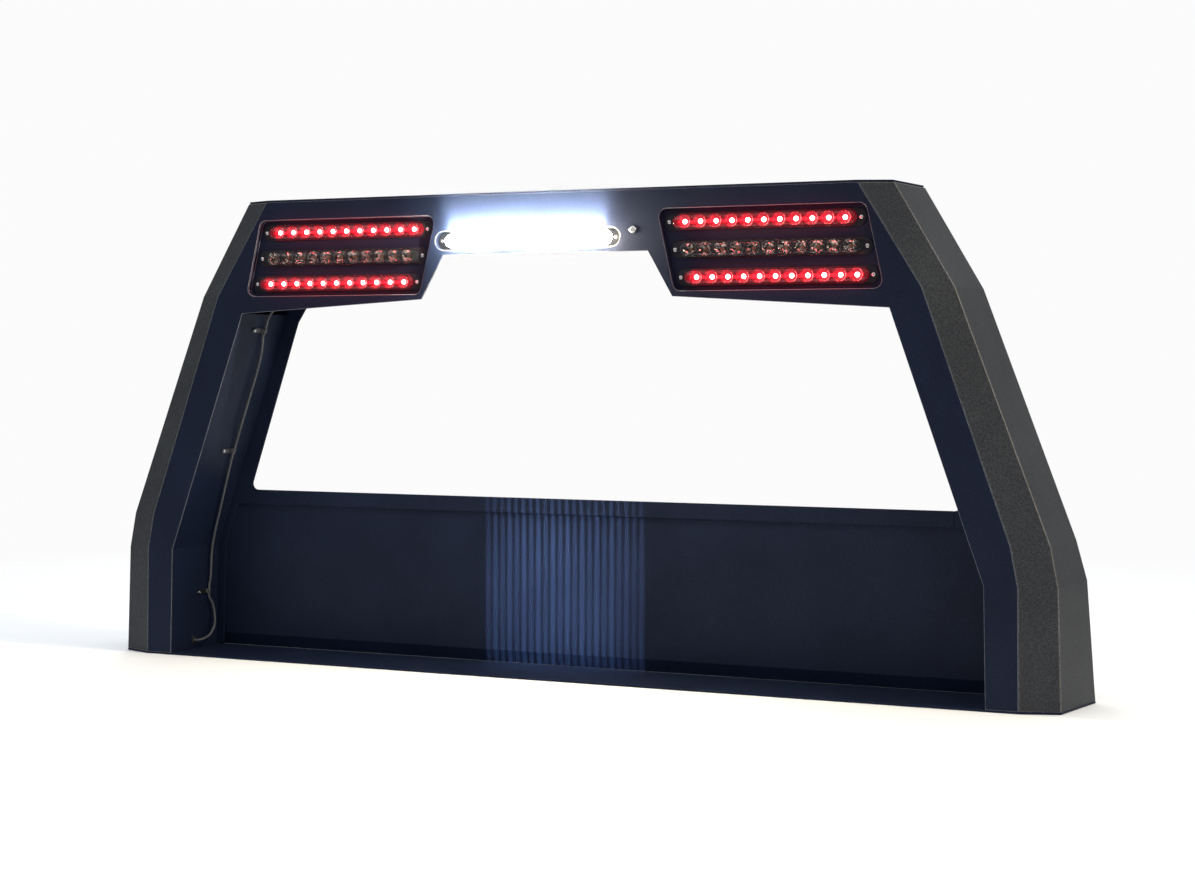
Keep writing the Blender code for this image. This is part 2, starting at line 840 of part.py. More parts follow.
def add_lens(name, x, z, material):
    corners = box_corners(x, z, LENS_LENGTH, LENS_HEIGHT)
    lens_round = LENS_HEIGHT / 2 - 0.001
    bevel = 0.0012
    loft(
        f"{name}_lens",
        [
            upright(rounded(corners, lens_round, -LENS_WALL, 5), lens_inner),
            upright(rounded(corners, lens_round, -LENS_WALL, 5), lens_back),
            upright(rounded(corners, lens_round, 0.0, 5), lens_back),
            upright(rounded(corners, lens_round, 0.0, 5), LENS_FACE + bevel),
            upright(rounded(corners, lens_round, -bevel, 5), LENS_FACE),
        ],
        material,
    )


def add_screw(name, matrix, seat, end, outward):
    """Pan-head screw: head seated at one height, shank running to another."""
    head = seat + outward * SCREW_HEAD_HEIGHT
    profile = [
        (0.0, head),
        (SCREW_HEAD * 0.7, head),
        (SCREW_HEAD, head - outward * SCREW_HEAD_HEIGHT * 0.3),
        (SCREW_HEAD, seat),
        (SCREW_SHANK, seat),
        (SCREW_SHANK, end),
        (0.0, end),
    ]
    if outward < 0:
        profile.reverse()
    turned(name, profile, 12, matrix, STEEL)


for which in ("left", "right", "work"):
    for row, x, z in lamps[which]:
        name = "work_light" if which == "work" else f"{row}_lamp_{which}"
        if which == "work":
            chips, lens = WHITE_CHIP, CLEAR_LENS
        elif row == "middle":
            chips, lens = DARK_CHIP, CLEAR_LENS
        else:
            chips, lens = RED_CHIP, RED_LENS
        add_body(name, x, z)
        add_board(name, x, z, chips)
        add_lens(name, x, z, lens)
        tip = TRAY_BACK + SCREW_PAST
        for count, px in enumerate((x - SCREW_REACH, x + SCREW_REACH), 1):
            add_screw(f"{name}_screw_{count}", fore_and_aft(px, z), lens_back, tip, -1)


# ---- light sensor beside the work light -----------------------------------------
turned(
    "light_sensor",
    [
        (0.0, SHEET + SENSOR_TAIL),
        (SENSOR_STEM, SHEET + SENSOR_TAIL),
        (SENSOR_STEM, -GAP),
        (SENSOR_HEAD, -GAP),
        (SENSOR_HEAD, -SENSOR_PROUD * 0.3),
        (SENSOR_HEAD * 0.85, -SENSOR_PROUD * 0.7),
        (SENSOR_HEAD * 0.55, -SENSOR_PROUD),
        (0.0, -SENSOR_PROUD),
    ],
    16,
    fore_and_aft(SENSOR_X, SENSOR_HEIGHT),
    STEEL,
)


# ---- cable on the left post's inner face -----------------------------------------
def on_return(depth, z, off):
    """Point off the left post's inner face at a depth and height, and its lean."""
    low, high = (0.0, BEND_LOW) if z < BEND_LOW else (BEND_LOW, POD_OUTER_HEIGHT)
    lean = math.atan((return_half(low) - return_half(high)) / (high - low))
    x = -return_half(z) + off * math.cos(lean)
    return Vector((x, REAR + depth, z - off * math.sin(lean))), lean


def smooth_path(points, steps=6):
    """Catmull-Rom curve through the points."""
    padded = [points[0] * 2 - points[1], *points, points[-1] * 2 - points[-2]]
    path = []
    for k in range(1, len(padded) - 2):
        a, b, c, d = padded[k - 1 : k + 3]
        for step in range(steps):
            t = step / steps
            path.append(
                0.5
                * (
                    2 * b
                    + (c - a) * t
                    + (2 * a - 5 * b + 4 * c - d) * t * t
                    + (3 * b - a - 3 * c + d) * t * t * t
                )
            )
    path.append(points[-1])
    return path


# The three clips: share of the frame's depth, and share of the inner face's height.
clip_shares = {"top": (0.547, 0.954), "middle": (0.661, 0.600), "low": (0.760, 0.174)}
clip_places = {
    label: (FRAME_DEPTH * depth, POD_OUTER_HEIGHT * height)
    for label, (depth, height) in clip_shares.items()
}


def beside(share, height, off):
    """Cable point by share of depth and of height, and its distance off the clips."""
    place = on_return(FRAME_DEPTH * share, POD_OUTER_HEIGHT * height, CABLE_STANDOFF + off)
    return place[0]


def through_clip(label):
    """Three cable points on one straight line through a clip."""
    depth, z = clip_places[label]
    return [
        on_return(depth, z + step, CABLE_STANDOFF)[0]
        for step in (1.5 * CLIP_WIDTH, 0.0, -1.5 * CLIP_WIDTH)
    ]


# The cable leaves the back of the left lamp tray and drops to the first clip.
leaving = Vector(
    (-POD_CENTRE - 0.150, REAR + TRAY_BACK + 2 * GAP, lamp_rows["middle"][1] - 0.019)
)
top_depth, top_height = clip_places["top"]
above_clip = on_return(top_depth - 0.008, top_height + 0.036, CABLE_STANDOFF + 0.005)[0]
cable_points = [
    leaving,
    leaving + Vector((0.0, 0.006, 0.0)),
    leaving + Vector((0.0, 0.014, 0.0)),
    leaving.lerp(above_clip, 0.35) + Vector((0.0, 0.012, 0.004)),
    leaving.lerp(above_clip, 0.75) + Vector((0.006, 0.006, 0.0)),
    above_clip,
    *through_clip("top"),
    beside(0.620, 0.874, 0.002),
    beside(0.625, 0.688, 0.003),
    *through_clip("middle"),
    beside(0.672, 0.527, 0.002),
    beside(0.714, 0.420, 0.004),
    beside(0.766, 0.312, 0.006),
    beside(0.771, 0.216, 0.002),
    *through_clip("low"),
    beside(0.823, 0.129, 0.004),
    beside(0.823, 0.077, 0.010),
    beside(0.703, 0.044, 0.012),
    on_return(GROMMET_DEPTH + 0.014, GROMMET_HEIGHT + 0.002, 0.016)[0],
    on_return(GROMMET_DEPTH + 0.003, GROMMET_HEIGHT, 0.011)[0],
    on_return(GROMMET_DEPTH, GROMMET_HEIGHT, 0.004)[0],
    on_return(GROMMET_DEPTH, GROMMET_HEIGHT, -0.009)[0],
    on_return(GROMMET_DEPTH, GROMMET_HEIGHT, -0.030)[0],
]
cable_curve = bpy.data.curves.new("post_cable", "CURVE")
cable_curve.dimensions = "3D"
cable_curve.bevel_depth = CABLE_RADIUS
cable_curve.bevel_resolution = 2
cable_curve.use_fill_caps = True
route = smooth_path(cable_points, 3)
spline = cable_curve.splines.new("POLY")
spline.points.add(len(route) - 1)
for target, point in zip(spline.points, route):
    target.co = (*point, 1.0)
cable = bpy.data.objects.new("post_cable", cable_curve)
cable_curve.materials.append(CABLE_GREY)
parts.objects.link(cable)


def face_matrix(depth, z):
    """Local X along depth, local Y off the face, local Z up the face."""
    origin, lean = on_return(depth, z, 0.0)
    along = Vector((0.0, 1.0, 0.0))
    out = Vector((math.cos(lean), 0.0, -math.sin(lean)))
    up = Vector((math.sin(lean), 0.0, math.cos(lean)))
    matrix = Matrix((along, out, up)).transposed().to_4x4()
    matrix.translation = origin
    return matrix


def off_face(depth, z, shift=0.0):
    """Matrix whose Z axis points off the left post's inner face."""
    turn = Matrix.Rotation(-math.pi / 2, 4, "X")
    return face_matrix(depth, z) @ Matrix.Translation((shift, 0.0, 0.0)) @ turn


hole_work = bmesh.new()
for label, (depth, z) in clip_places.items():
    matrix = face_matrix(depth, z)
    inner = CABLE_RADIUS + CLIP_CLEARANCE
    outer = inner + CLIP_BAND
    half = CLIP_WIDTH / 2
    work = bmesh.new()
    # One outline: round the cable, then out along a flat tab to the screw.
    angles = [math.radians(-60 + 30 * k) for k in range(9)]
    loop_out = [
        (outer * math.cos(a), CABLE_STANDOFF + outer * math.sin(a)) for a in angles
    ]
    tab_high = CABLE_STANDOFF - outer + CLIP_BAND
    tab_low = CABLE_STANDOFF - outer
    tab_low_end = (-CLIP_REACH - CLIP_TAB_END, tab_low)
    tab_high_end = (-CLIP_REACH - CLIP_TAB_END, tab_high)
    outline = [
        (0.0, tab_low),
        *loop_out,
        (-outer - 0.0004, CABLE_STANDOFF - 0.0010),
        (-outer - 0.0014, tab_high),
        tab_high_end,
        tab_low_end,
    ]
    rings = [
        [matrix @ Vector((x, y, zz)) for x, y in outline] for zz in (-half, half)
    ]
    add_loft(work, rings)
    clip = finish(f"cable_clip_{label}", work, GALVANISED)
    bore = bmesh.new()
    loop_axis = matrix @ Matrix.Translation((0.0, CABLE_STANDOFF, 0.0))
    add_cone(bore, loop_axis, (-half - 0.002, inner), (half + 0.002, inner), 16)
    hole = SCREW_SHANK + SCREW_CLEARANCE
    screw_axis = off_face(depth, z, -CLIP_REACH)
    add_cone(bore, screw_axis, (-0.002, hole), (0.006, hole), 12)
    cut(clip, finish(f"cable_clip_{label}_bore", bore, None, cutters, True), "bore")

    far_end = -SHEET - 0.004
    add_cone(hole_work, screw_axis, (far_end, hole), (0.003, hole), 12)
    add_screw(f"cable_clip_screw_{label}", screw_axis, tab_high + GAP, far_end, 1)

grommet_axis = off_face(GROMMET_DEPTH, GROMMET_HEIGHT)
cable_hole = GROMMET_HOLE + GAP
add_cone(hole_work, grommet_axis, (-SHEET - 0.004, cable_hole), (0.004, cable_hole), 16)
holes = finish("post_return_drill", hole_work, None, cutters, True)
cut(bpy.data.objects["post_return_left"], holes, "screw_and_cable_holes")

far_side = -return_thick - GAP
bore_radius = CABLE_RADIUS + GAP
flange_radius = GROMMET_HOLE + GROMMET_FLANGE
turned(
    "cable_grommet",
    [
        (bore_radius, far_side - GROMMET_LIP),
        (bore_radius, GAP + GROMMET_LIP),
        (flange_radius, GAP + GROMMET_LIP),
        (flange_radius, GAP),
        (GROMMET_HOLE, GAP),
        (GROMMET_HOLE, far_side),
        (flange_radius, far_side),
        (flange_radius, far_side - GROMMET_LIP),
        (bore_radius, far_side - GROMMET_LIP),
    ],
    16,
    grommet_axis,
    RUBBER,
)
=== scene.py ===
# %% [markdown]
# # A headache rack, dressed for its picture
# A headache rack stands at the front of a truck's flatbed and keeps the load off
# the cab. This one is folded black sheet metal: two splayed posts, a header full
# of strip lamps, an open window and a low bulkhead. The engineering model comes in
# first as a fixed frame. Everything after it gives that frame its finish.

# %% Load the fixed frame
import json
import math

import bmesh
import bpy
import numpy as np
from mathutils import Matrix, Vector


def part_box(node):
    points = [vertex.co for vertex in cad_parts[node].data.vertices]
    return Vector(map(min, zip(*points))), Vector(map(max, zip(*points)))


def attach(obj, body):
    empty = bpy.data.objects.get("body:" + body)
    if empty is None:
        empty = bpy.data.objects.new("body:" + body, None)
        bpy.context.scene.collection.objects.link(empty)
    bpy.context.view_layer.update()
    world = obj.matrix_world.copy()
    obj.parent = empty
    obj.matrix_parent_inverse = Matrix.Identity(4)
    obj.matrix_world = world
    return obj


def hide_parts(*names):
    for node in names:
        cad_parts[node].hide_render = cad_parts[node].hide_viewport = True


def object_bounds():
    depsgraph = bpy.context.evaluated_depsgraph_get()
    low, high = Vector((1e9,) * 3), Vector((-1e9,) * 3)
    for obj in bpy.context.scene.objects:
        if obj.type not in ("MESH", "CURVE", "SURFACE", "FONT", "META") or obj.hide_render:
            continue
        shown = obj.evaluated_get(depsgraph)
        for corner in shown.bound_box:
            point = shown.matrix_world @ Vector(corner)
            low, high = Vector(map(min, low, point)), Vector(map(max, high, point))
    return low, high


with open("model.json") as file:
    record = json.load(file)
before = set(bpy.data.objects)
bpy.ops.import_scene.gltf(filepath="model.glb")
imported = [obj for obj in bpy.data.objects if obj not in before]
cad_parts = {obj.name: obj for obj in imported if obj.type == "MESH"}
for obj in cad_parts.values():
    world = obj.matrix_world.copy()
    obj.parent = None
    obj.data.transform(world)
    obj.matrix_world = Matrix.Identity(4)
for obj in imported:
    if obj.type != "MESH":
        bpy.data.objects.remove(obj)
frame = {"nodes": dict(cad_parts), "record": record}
cad_low, cad_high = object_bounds()
cad_nodes = frame["nodes"]
print("frame:", len(cad_nodes), "nodes,", [round(v, 3) for v in cad_high - cad_low])

# %% [markdown]
# ## The camera
# The rack is seen from behind and to its right, from a standing person's eye
# height over the deck. A camera needs a place, a heading and a lens. Heading and
# pitch give the direction of view, and the camera's own minus Z is turned onto it.

# %% Place the camera
CAMERA_PLACE = Vector((2.044, -4.452, 0.686))
HEADING = math.radians(26.8)
PITCH = math.radians(-5.0)

look = Vector(
    (
        -math.sin(HEADING) * math.cos(PITCH),
        math.cos(HEADING) * math.cos(PITCH),
        math.sin(PITCH),
    )
)
camera_data = bpy.data.cameras.new("camera")
camera_data.sensor_width = 36.0
camera_data.lens = 69.0
camera_data.shift_x = 0.10
camera_data.shift_y = 0.09
camera = bpy.data.objects.new("camera", camera_data)
camera.location = CAMERA_PLACE
camera.rotation_euler = look.to_track_quat("-Z", "Y").to_euler()
bpy.context.scene.collection.objects.link(camera)
bpy.context.scene.camera = camera
print("camera looks along", [round(v, 3) for v in look])

# %% [markdown]
# ## Mesh helpers
# Most shapes here are grids: a function gives a point for every pair of two
# parameters, numpy works out the whole array at once, and the array goes into the
# mesh in one call. A grid can be closed along either parameter, so that a tube or
# a ring has no seam.

# %% Helper: many grids in one mesh
GRID_MERGE = 0.00002
CORNER_MERGE = 0.00001
FLAT_ANGLE = math.radians(0.3)
FOLD_ANGLE = math.radians(20.0)


def grid_faces(rows, columns, offset, wrap_rows, wrap_columns):
    """Corner numbers of each quad between neighbouring grid points, as one array."""
    i = np.arange(rows if wrap_rows else rows - 1)
    j = np.arange(columns if wrap_columns else columns - 1)
    i, j = np.meshgrid(i, j, indexing="ij")
    ahead = (i + 1) % rows
    beside = (j + 1) % columns
    corners = [i * columns + j, ahead * columns + j]
    corners += [ahead * columns + beside, i * columns + beside]
    return np.stack(corners, axis=-1).reshape(-1, 4) + offset


def mesh_from_grids(name, grids, glow=None, second_from=None):
    """One mesh from (points, wrap rows, wrap columns) grids, with doubles merged.

    glow is a list with one number per point of each grid, kept as the attribute
    "glow" for materials that fade across a piece. second_from gives, for each
    grid, the column from which its faces take the second material.
    """
    points, faces, finish, total = [], [], [], 0
    for index, (grid, wrap_rows, wrap_columns) in enumerate(grids):
        rows, columns = grid.shape[:2]
        made = grid_faces(rows, columns, total, wrap_rows, wrap_columns)
        column = (made[:, 0] - total) % columns
        limit = second_from[index] if second_from else columns
        finish.append((column >= limit).astype(np.int32))
        faces.append(made)
        points.append(grid.reshape(-1, 3))
        total += rows * columns
    mesh = bpy.data.meshes.new(name)
    corners, quads = np.concatenate(points), np.concatenate(faces)
    mesh.from_pydata(corners.tolist(), [], quads.tolist())
    mesh.polygons.foreach_set("material_index", np.concatenate(finish))
    if glow is not None:
        values = np.concatenate([g.reshape(-1) for g in glow]).astype(np.float32)
        mesh.attributes.new("glow", "FLOAT", "POINT").data.foreach_set("value", values)
    work = bmesh.new()
    work.from_mesh(mesh)
    bmesh.ops.remove_doubles(work, verts=work.verts, dist=GRID_MERGE)
    bmesh.ops.dissolve_degenerate(work, edges=work.edges, dist=GRID_MERGE / 4)
    bmesh.ops.recalc_face_normals(work, faces=work.faces)
    work.to_mesh(mesh)
    work.free()
    return mesh


def show(name, mesh, material, replaced=(), smooth=True):
    """Put a finished mesh in the scene as a piece that rides on the rack."""
    piece = bpy.data.objects.new(name, mesh)
    bpy.context.scene.collection.objects.link(piece)
    for each in material if isinstance(material, (list, tuple)) else [material]:
        mesh.materials.append(each)
    mesh.polygons.foreach_set("use_smooth", np.full(len(mesh.polygons), smooth))
    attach(piece, "root")
    if replaced:
        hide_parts(*replaced)
    return piece


def softened(node, width, smooth=False, edge_highlight=None):
    """Copy of a frame node with its corners merged and its edges rounded.

    The edge finish, if given, colours the rounded edges alone, as a painted highlight.
    """
    mesh = cad_nodes[node].data.copy()
    mesh.name = node + "_skin"
    mesh.materials.clear()
    work = bmesh.new()
    work.from_mesh(mesh)
    bmesh.ops.remove_doubles(work, verts=work.verts, dist=CORNER_MERGE)
    bmesh.ops.dissolve_limit(
        work, angle_limit=FLAT_ANGLE, verts=work.verts, edges=work.edges
    )
    work.to_mesh(mesh)
    work.free()
    slot = node_slot[node]
    finishes = [finish_of[slot]] + ([edge_highlight] if edge_highlight else [])
    piece = show(node + "_skin", mesh, finishes, [node], smooth)
    if width:
        bevel = piece.modifiers.new("rounded edges", "BEVEL")
        bevel.width = width
        bevel.segments = 2
        bevel.limit_method = "ANGLE"
        bevel.angle_limit = FOLD_ANGLE
        bevel.material = 1 if edge_highlight else -1
    return piece


node_slot = {
    entry["node"]: entry["material_slot"] for entry in frame["record"]["subparts"]
}

# %% [markdown]
# ## Finishes
# Each finish is one small node tree. Patterns read Object coordinates, which are
# metres here, so a noise scale of 300 makes grains about 3 mm across. Black powder
# coat is hardly ever plain black: it has a grain that scatters light, so its
# colour and its bump come from the same noise.


# %% Helper: a shader with its constant settings
def new_material(name, **settings):
    """Material with a Principled shader; each setting goes straight on its socket."""
    material = bpy.data.materials.new(name)
    material.use_nodes = True
    shader = material.node_tree.nodes["Principled BSDF"]
    for socket, value in settings.items():
        shader.inputs[socket.replace("_", " ")].default_value = value
    return material, material.node_tree, shader


def add_node(tree, kind, **settings):
    """New node; each setting is an input's value or one of the node's properties."""
    node = tree.nodes.new(kind)
    for key, value in settings.items():
        if key in node.inputs:
            node.inputs[key].default_value = value
        else:
            setattr(node, key, value)
    return node


def object_noise(tree, scale, detail=3.0, roughness=0.6, stretch=(1.0, 1.0, 1.0)):
    """Noise on Object coordinates, with the pattern stretched along chosen axes."""
    place = tree.nodes.new("ShaderNodeTexCoord")
    mapping = tree.nodes.new("ShaderNodeMapping")
    mapping.inputs["Scale"].default_value = stretch
    noise = tree.nodes.new("ShaderNodeTexNoise")
    noise.inputs["Scale"].default_value = scale
    noise.inputs["Detail"].default_value = detail
    noise.inputs["Roughness"].default_value = roughness
    tree.links.new(place.outputs["Object"], mapping.inputs["Vector"])
    tree.links.new(mapping.outputs["Vector"], noise.inputs["Vector"])
    return noise


def ramp(tree, source, stops):
    """Colour ramp after a value, from (place, colour) stops."""
    node = tree.nodes.new("ShaderNodeValToRGB")
    elements = node.color_ramp.elements
    while len(elements) < len(stops):
        elements.new(0.5)
    for element, (place, colour) in zip(elements, stops):
        element.position = place
        element.color = (*colour, 1.0)
    tree.links.new(source, node.inputs["Fac"])
    return node.outputs["Color"]


def add_bump(tree, shader, height, strength, distance):
    """Tilt a shader's normals by the slope of a height pattern."""
    bump = tree.nodes.new("ShaderNodeBump")
    bump.inputs["Strength"].default_value = strength
    bump.inputs["Distance"].default_value = distance
    tree.links.new(height, bump.inputs["Height"])
    tree.links.new(bump.outputs["Normal"], shader.inputs["Normal"])


# %% [markdown]
# ### Powder coats
# The posts' outer faces carry a coarse speckled coat that reads as dark grey. The
# faces towards the load are smoother and almost navy. Two paler versions go on
# rounded edges alone as painted highlights: one on the posts' sharp folds, and one
# on thin cut rims. All get a second, slow noise that varies their tone over a
# hand's width, as sprayed powder does.


# %% Powder coats
def powder_coat(name, low, high, roughness, grain, bump, specular):
    """Black coat: a fine grain picks between two tones, a slow noise tints it."""
    material, tree, shader = new_material(name, Roughness=roughness)
    shader.inputs["Specular IOR Level"].default_value = specular
    fine = object_noise(tree, grain, 2.0, 0.7)
    slow = object_noise(tree, 7.0, 2.0, 0.5)
    tone = ramp(tree, fine.outputs["Fac"], [(0.38, low), (0.62, high)])
    cloud = ramp(
        tree,
        slow.outputs["Fac"],
        [(0.30, (0.80, 0.80, 0.82)), (0.70, (1.12, 1.10, 1.06))],
    )
    mix = add_node(tree, "ShaderNodeMix", data_type="RGBA", blend_type="MULTIPLY")
    mix.inputs["Factor"].default_value = 1.0
    tree.links.new(tone, mix.inputs[6])
    tree.links.new(cloud, mix.inputs[7])
    tree.links.new(mix.outputs[2], shader.inputs["Base Color"])
    add_bump(tree, shader, fine.outputs["Fac"], bump, 0.0012)
    return material


smooth_coat = powder_coat(
    "smooth black coat",
    (0.0040, 0.0072, 0.0200),
    (0.0080, 0.0138, 0.0360),
    0.50,
    420.0,
    0.22,
    0.12,
)
textured_coat = powder_coat(
    "textured black coat",
    (0.008, 0.010, 0.014),
    (0.030, 0.033, 0.039),
    0.58,
    330.0,
    0.60,
    0.32,
)
# Paler coat for a sharp fold: a painted highlight along the fold line.
fold_highlight_coat = powder_coat(
    "painted highlight on a sharp fold",
    (0.030, 0.031, 0.033),
    (0.115, 0.115, 0.115),
    0.42,
    380.0,
    0.60,
    0.50,
)
# Paler coat for thin cut rims: a painted highlight on the rounded cut edges of the rear
# face and the lamp trays.
rim_highlight_coat = powder_coat(
    "painted highlight on a thin rim",
    (0.070, 0.078, 0.100),
    (0.140, 0.150, 0.185),
    0.40,
    420.0,
    0.20,
    0.45,
)

# %% [markdown]
# ### Lamp plastics
# A strip lamp is a plated reflector under a thin moulded lens. A lit lamp's
# reflector glows: its bowls throw the chip's light back, strongest near the chip.
# That falloff is stored on the mesh as the attribute "glow", and the emission
# reads it.


# %% Lamp materials
def soft_plastic(name, low, high, roughness, grain, bump):
    """Matte plastic or rubber with a fine grain."""
    material, tree, shader = new_material(name, Roughness=roughness)
    shader.inputs["Specular IOR Level"].default_value = 0.2
    noise = object_noise(tree, grain, 3.0)
    tone = ramp(tree, noise.outputs["Fac"], [(0.35, low), (0.65, high)])
    tree.links.new(tone, shader.inputs["Base Color"])
    add_bump(tree, shader, noise.outputs["Fac"], bump, 0.0004)
    return material


def plated(name, low, high, glow_stops=None, glow_strength=0.0):
    """Bright plated plastic; with glow stops it shines by its glow attribute."""
    material, tree, shader = new_material(name, Metallic=1.0, Roughness=0.11)
    dulled = object_noise(tree, 210.0, 2.0)
    tone = ramp(tree, dulled.outputs["Fac"], [(0.48, low), (0.62, high)])
    tree.links.new(tone, shader.inputs["Base Color"])
    if glow_stops:
        glow = add_node(tree, "ShaderNodeAttribute", attribute_name="glow")
        colour = ramp(tree, glow.outputs["Fac"], glow_stops)
        tree.links.new(colour, shader.inputs["Emission Color"])
        power = add_node(tree, "ShaderNodeMath", operation="MULTIPLY")
        power.inputs[1].default_value = glow_strength
        tree.links.new(glow.outputs["Fac"], power.inputs[0])
        tree.links.new(power.outputs["Value"], shader.inputs["Emission Strength"])
        material.cycles.emission_sampling = "NONE"
    return material


def lens_plastic(name, colour, alpha, glow_colour=None, glow=0.0):
    """Thin glossy moulding, mostly see-through, with faint moulding waves."""
    material, tree, shader = new_material(
        name, Roughness=0.07, Alpha=alpha, Coat_Weight=0.6, Coat_Roughness=0.04
    )
    shader.inputs["Base Color"].default_value = (*colour, 1.0)
    if glow_colour:
        shader.inputs["Emission Color"].default_value = (*glow_colour, 1.0)
        shader.inputs["Emission Strength"].default_value = glow
        material.cycles.emission_sampling = "NONE"
    waves = object_noise(tree, 160.0, 1.0)
    add_bump(tree, shader, waves.outputs["Fac"], 0.10, 0.0004)
    return material


def chip_material(name, base, glow_colour=None, glow=0.0):
    """Small dome of clear resin over a light-emitting chip."""
    material, tree, shader = new_material(name, Roughness=0.18, Coat_Weight=0.8)
    shader.inputs["Base Color"].default_value = (*base, 1.0)
    if glow_colour:
        shader.inputs["Emission Color"].default_value = (*glow_colour, 1.0)
        shader.inputs["Emission Strength"].default_value = glow
        material.cycles.emission_sampling = "NONE"
    return material


chrome_unlit = plated("plated reflector", (0.03, 0.022, 0.018), (0.95, 0.85, 0.74))
chrome_red = plated(
    "plated reflector lit red",
    (0.16, 0.004, 0.010),
    (0.30, 0.008, 0.018),
    [
        (0.0, (1.0, 0.006, 0.040)),
        (0.72, (1.0, 0.010, 0.040)),
        (0.95, (1.0, 0.5, 0.5)),
    ],
    1.35,
)
chrome_white = plated(
    "plated reflector lit white",
    (0.55, 0.58, 0.60),
    (0.80, 0.84, 0.88),
    [(0.0, (0.70, 0.84, 1.0)), (1.0, (0.92, 0.97, 1.0))],
    30.0,
)
housing = soft_plastic(
    "smoked lamp housing",
    (0.004, 0.005, 0.008),
    (0.009, 0.010, 0.015),
    0.45,
    220.0,
    0.1,
)
red_lens = lens_plastic(
    "red lens", (0.08, 0.001, 0.004), 0.35, (1.0, 0.008, 0.045), 0.20
)
clear_lens = lens_plastic("clear lens", (0.02, 0.02, 0.024), 0.16)
white_lens = lens_plastic(
    "clear lens lit", (0.9, 0.95, 1.0), 0.45, (0.86, 0.93, 1.0), 30.0
)
red_chip = chip_material("lit red chip", (0.9, 0.2, 0.2), (1.0, 0.62, 0.60), 30.0)
white_chip = chip_material("lit white chip", (0.9, 0.95, 1.0), (0.85, 0.93, 1.0), 40.0)
dark_chip = chip_material("unlit chip", (0.20, 0.13, 0.06))

# %% [markdown]
# ### Small metal, cable and rubber
# Screws are stainless, clips are zinc-plated and a little mottled, and the cable
# has a grey vinyl jacket with a soft gloss.


# %% Small materials
def metal(name, low, high, roughness, grain):
    """Bare metal whose tone wanders with a noise, with a faint bump from it."""
    material, tree, shader = new_material(name, Metallic=1.0, Roughness=roughness)
    noise = object_noise(tree, grain, 3.0)
    tone = ramp(tree, noise.outputs["Fac"], [(0.35, low), (0.65, high)])
    tree.links.new(tone, shader.inputs["Base Color"])
    add_bump(tree, shader, noise.outputs["Fac"], 0.15, 0.0003)
    return material


stainless = metal(
    "stainless steel", (0.52, 0.52, 0.51), (0.70, 0.70, 0.69), 0.24, 300.0
)
zinc = metal(
    "zinc plated steel", (0.05, 0.052, 0.056), (0.10, 0.103, 0.11), 0.45, 220.0
)
jacket = soft_plastic(
    "grey cable jacket", (0.050, 0.054, 0.064), (0.085, 0.090, 0.102), 0.40, 260.0, 0.1
)
rubber = soft_plastic(
    "black rubber", (0.012, 0.012, 0.012), (0.025, 0.025, 0.025), 0.7, 500.0, 0.3
)

finish_of = {
    "smooth_black_coat": smooth_coat,
    "textured_black_coat": textured_coat,
    "lamp_chrome": chrome_unlit,
    "red_lens": red_lens,
    "clear_lens": clear_lens,
    "red_chip": red_chip,
    "unlit_chip": dark_chip,
    "white_chip": white_chip,
    "stainless_steel": stainless,
    "cable_jacket": jacket,
    "black_rubber": rubber,
    "galvanised_steel": zinc,
}
print("finishes:", len(finish_of))

# %% [markdown]
# ## Sheet metal
# The frame's sheets have knife-sharp edges. Real sheet is folded over a tool, so
# each fold has a radius that catches a line of light. A merged copy of each sheet
# gets a Bevel modifier, wide on the folded posts and narrow on cut plates. On the
# posts and on the rims round the lamps, the rounded edge takes a paler coat: a
# painted highlight.

# %% Round the folds and edges
CUT_EDGE = 0.0009
FOLD_WIDTHS = {
    "post_band_left": 0.0022,
    "post_band_right": 0.0022,
    "bulkhead": 0.0014,
    "rear_face": 0.0009,
    "top_plate": 0.0012,
    "base_plate": 0.0010,
    "light_tray_left": 0.0007,
    "light_tray_right": 0.0007,
    "work_light_tray": 0.0006,
}
# Post folds and the rims round the lamps get a paler coat on their rounded edges: a
# painted highlight.
for node in cad_nodes:
    edge = None
    if node.startswith("post_band"):
        edge = fold_highlight_coat
    elif node == "rear_face" or node.startswith("light_tray"):
        edge = rim_highlight_coat
    if node_slot[node] in ("smooth_black_coat", "textured_black_coat"):
        softened(node, FOLD_WIDTHS.get(node, CUT_EDGE), edge_highlight=edge)
print("sheets softened")

# %% [markdown]
# ## Strip lamps
# Seen close, each lamp is a row of round bowls with a resin dome in each. One bowl
# and the flat face round it make a polar grid: the angle runs round the chip, and
# the second parameter runs from the chip's hole, up a curved bowl, over the rim
# and out to the edge of a rectangular cell. Eleven cells side by side make the
# whole reflector.

# %% Sizes read from the frame
LED_COUNT = 11
MIDDLE_LED = LED_COUNT // 2
LED_PITCH = 0.0336
HOLE_RADIUS = 0.0048
RIM_RADIUS = 0.0130
FLAT_RADIUS = 0.0134
BOWL_POINTS = 7
CELL_SIDES = 32
FACETS = 8
FACET_DEPTH = 0.075
END_DRAW = 0.38
LENS_LIP_END = 0.0045
LENS_LIP_SIDE = 0.0018
BOWL_INSET = 0.0016
EAR_THICKNESS = 0.0022
LENS_WALL = 0.0013
LENS_SWELL = 0.0007
SWELL_RADIUS = 0.010
DOME_RADIUS = 0.0034
DOME_HEIGHT = 0.0031
rows, sides = ("top", "middle", "low"), ("left", "right")
lamp_names = [f"{row}_lamp_{side}" for row in rows for side in sides]
lamp_names.append("work_light")


def measured(node):
    """Centre and size of a frame node's box."""
    low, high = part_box(node)
    return np.array((low + high) / 2), np.array(high - low)


board_centre, board_size = measured("top_lamp_right_led_board")
lens_centre, lens_size = measured("top_lamp_right_lens")
body_centre, body_size = measured("top_lamp_right_body")
